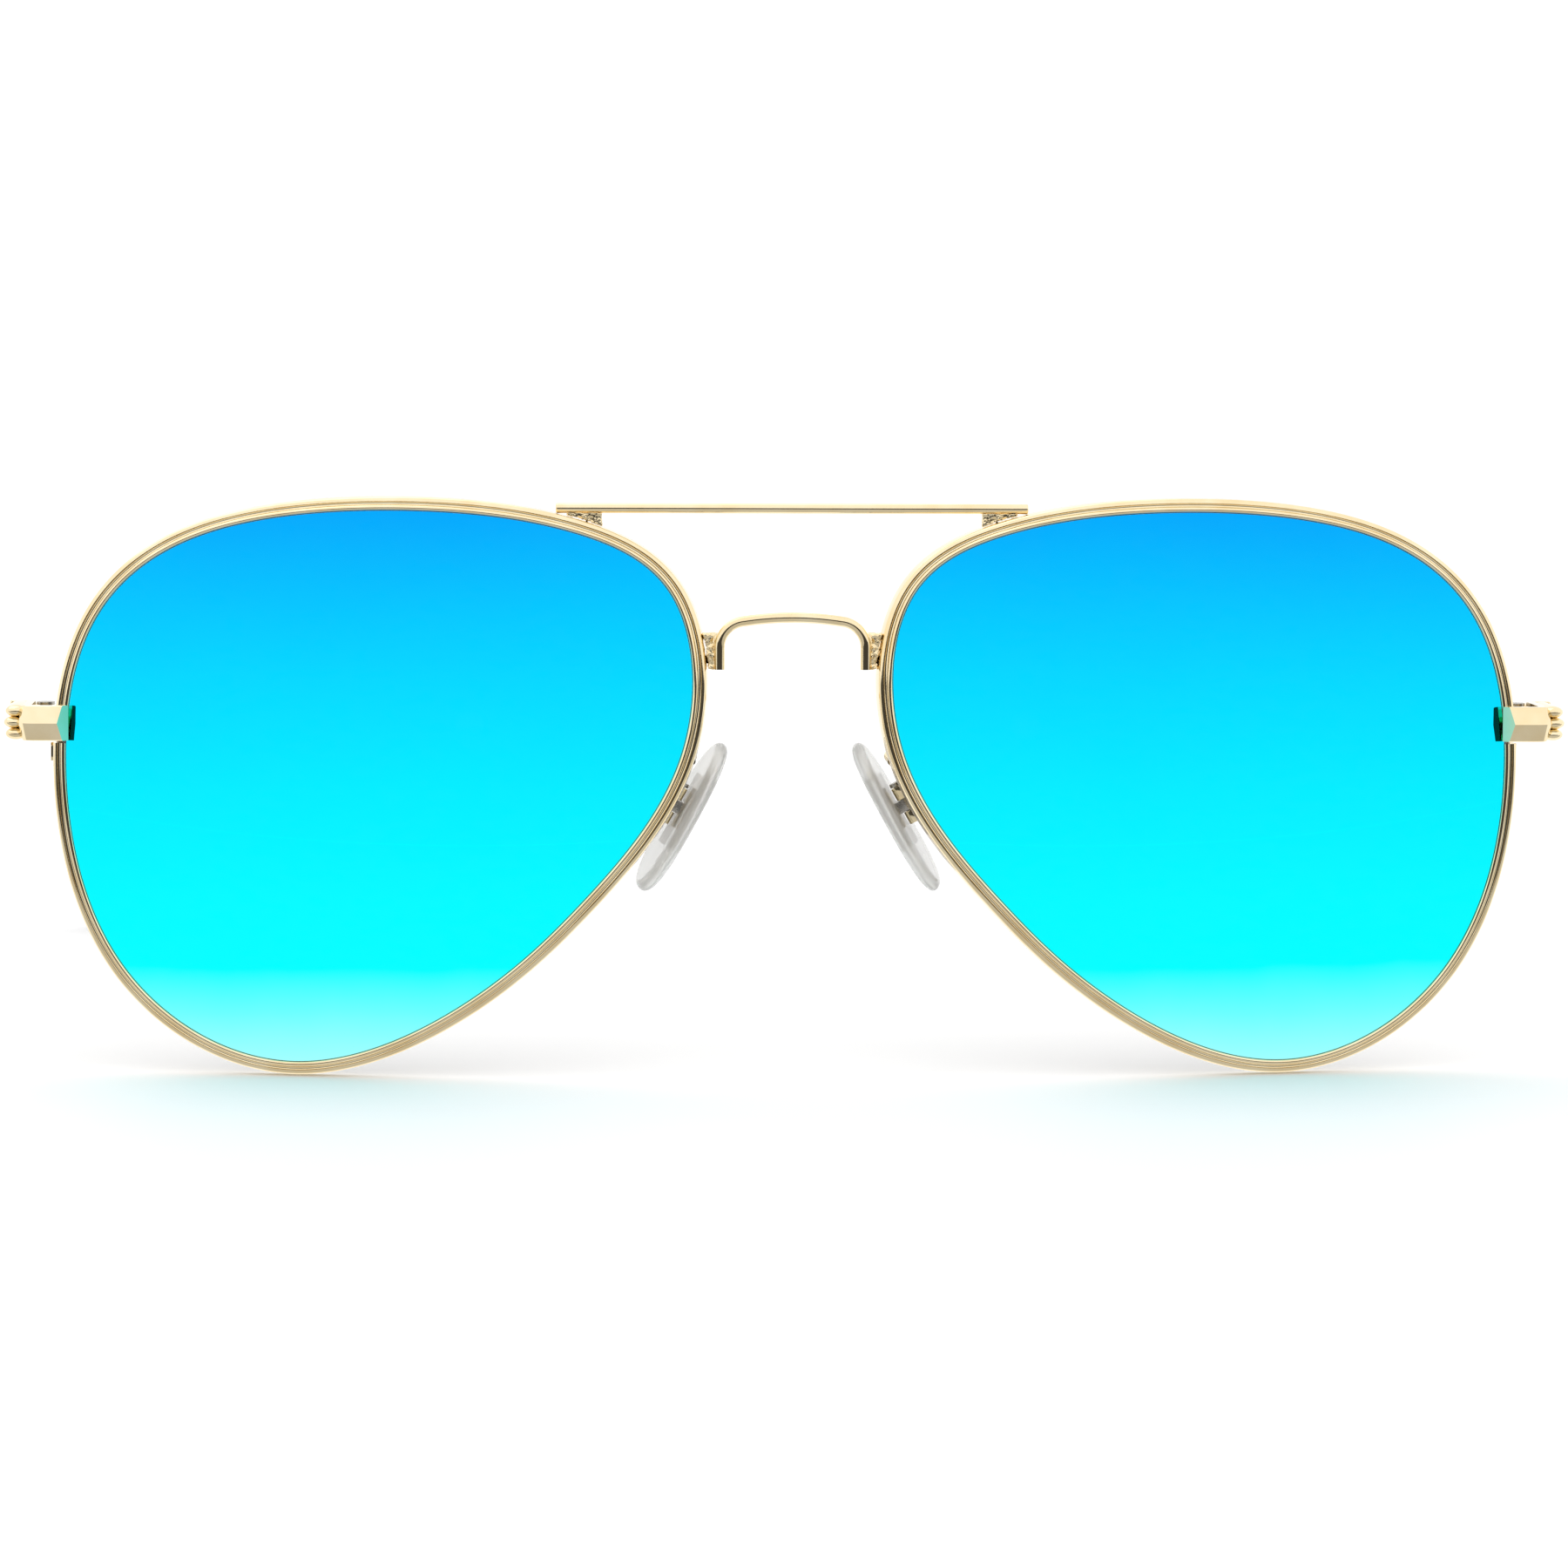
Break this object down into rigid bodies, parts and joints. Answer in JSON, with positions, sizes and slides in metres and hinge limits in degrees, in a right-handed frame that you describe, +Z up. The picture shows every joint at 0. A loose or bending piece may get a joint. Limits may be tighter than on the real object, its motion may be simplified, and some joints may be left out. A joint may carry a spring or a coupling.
{
  "type": "aviator sunglasses",
  "caption": "Aviator sunglasses: teardrop mirrored lenses in a thin gold wire frame with a brow bar, rocking nose pads and temples that fold flat.",
  "frame": {"origin": "centre of the outline, on the surface that the rims and temple tips stand on", "axes": "+Z up, -Y the way the wearer looks, +X the wearer's left"},
  "size_m": [0.1434, 0.1454, 0.0529],
  "materials": {
    "gold_metal": "polished pale gold plating",
    "steel": "bright machined",
    "mirror_lens": "blue mirror coat on polycarbonate",
    "clear_silicone": "clear, satin",
    "tip_plastic": "polished black"
  },
  "bodies": {
    "front": {"bridge": "gold_metal", "brow_bar": "gold_metal", "left_rim": "gold_metal", "left_lens": "mirror_lens", "left_upper_closing_block": "gold_metal", "left_lower_closing_block": "gold_metal", "left_rim_screw": "steel", "left_bridge_saddle": "gold_metal", "left_brow_bar_wedge": "gold_metal", "left_end_piece": "gold_metal", "left_hinge_front_leaf": "gold_metal", "left_hinge_screw": "steel", "left_pad_arm": "gold_metal", "left_pad_box": "gold_metal", "left_pad_screw": "steel", "right_rim": "gold_metal", "right_lens": "mirror_lens", "right_upper_closing_block": "gold_metal", "right_lower_closing_block": "gold_metal", "right_rim_screw": "steel", "right_bridge_saddle": "gold_metal", "right_brow_bar_wedge": "gold_metal", "right_end_piece": "gold_metal", "right_hinge_front_leaf": "gold_metal", "right_hinge_screw": "steel", "right_pad_arm": "gold_metal", "right_pad_box": "gold_metal", "right_pad_screw": "steel"},
    "left_temple": {"left_temple": "gold_metal", "left_temple_tip": "tip_plastic", "left_hinge_temple_leaf": "gold_metal"},
    "left_pad": {"left_nose_pad": "clear_silicone", "left_pad_insert": "steel"},
    "right_temple": {"right_temple": "gold_metal", "right_temple_tip": "tip_plastic", "right_hinge_temple_leaf": "gold_metal"},
    "right_pad": {"right_nose_pad": "clear_silicone", "right_pad_insert": "steel"}
  },
  "joints": [
    {"name": "left_temple_fold", "type": "hinge", "parent": "front", "child": "left_temple", "pos_m": [0.06825, -0.05758, 0.0321], "axis": [0, 0, 1], "range_deg": [0, 90]},
    {"name": "right_temple_fold", "type": "hinge", "parent": "front", "child": "right_temple", "pos_m": [-0.06825, -0.05758, 0.0321], "axis": [0, 0, -1], "range_deg": [0, 86]},
    {"name": "left_pad_rock", "type": "hinge", "parent": "front", "child": "left_pad", "pos_m": [0.01073, -0.06548, 0.02471], "axis": [-0.4924, 0, 0.8704], "range_deg": [-12, 12]},
    {"name": "right_pad_rock", "type": "hinge", "parent": "front", "child": "right_pad", "pos_m": [-0.01073, -0.06548, 0.02471], "axis": [-0.4924, 0, -0.8704], "range_deg": [-12, 12]}
  ]
}
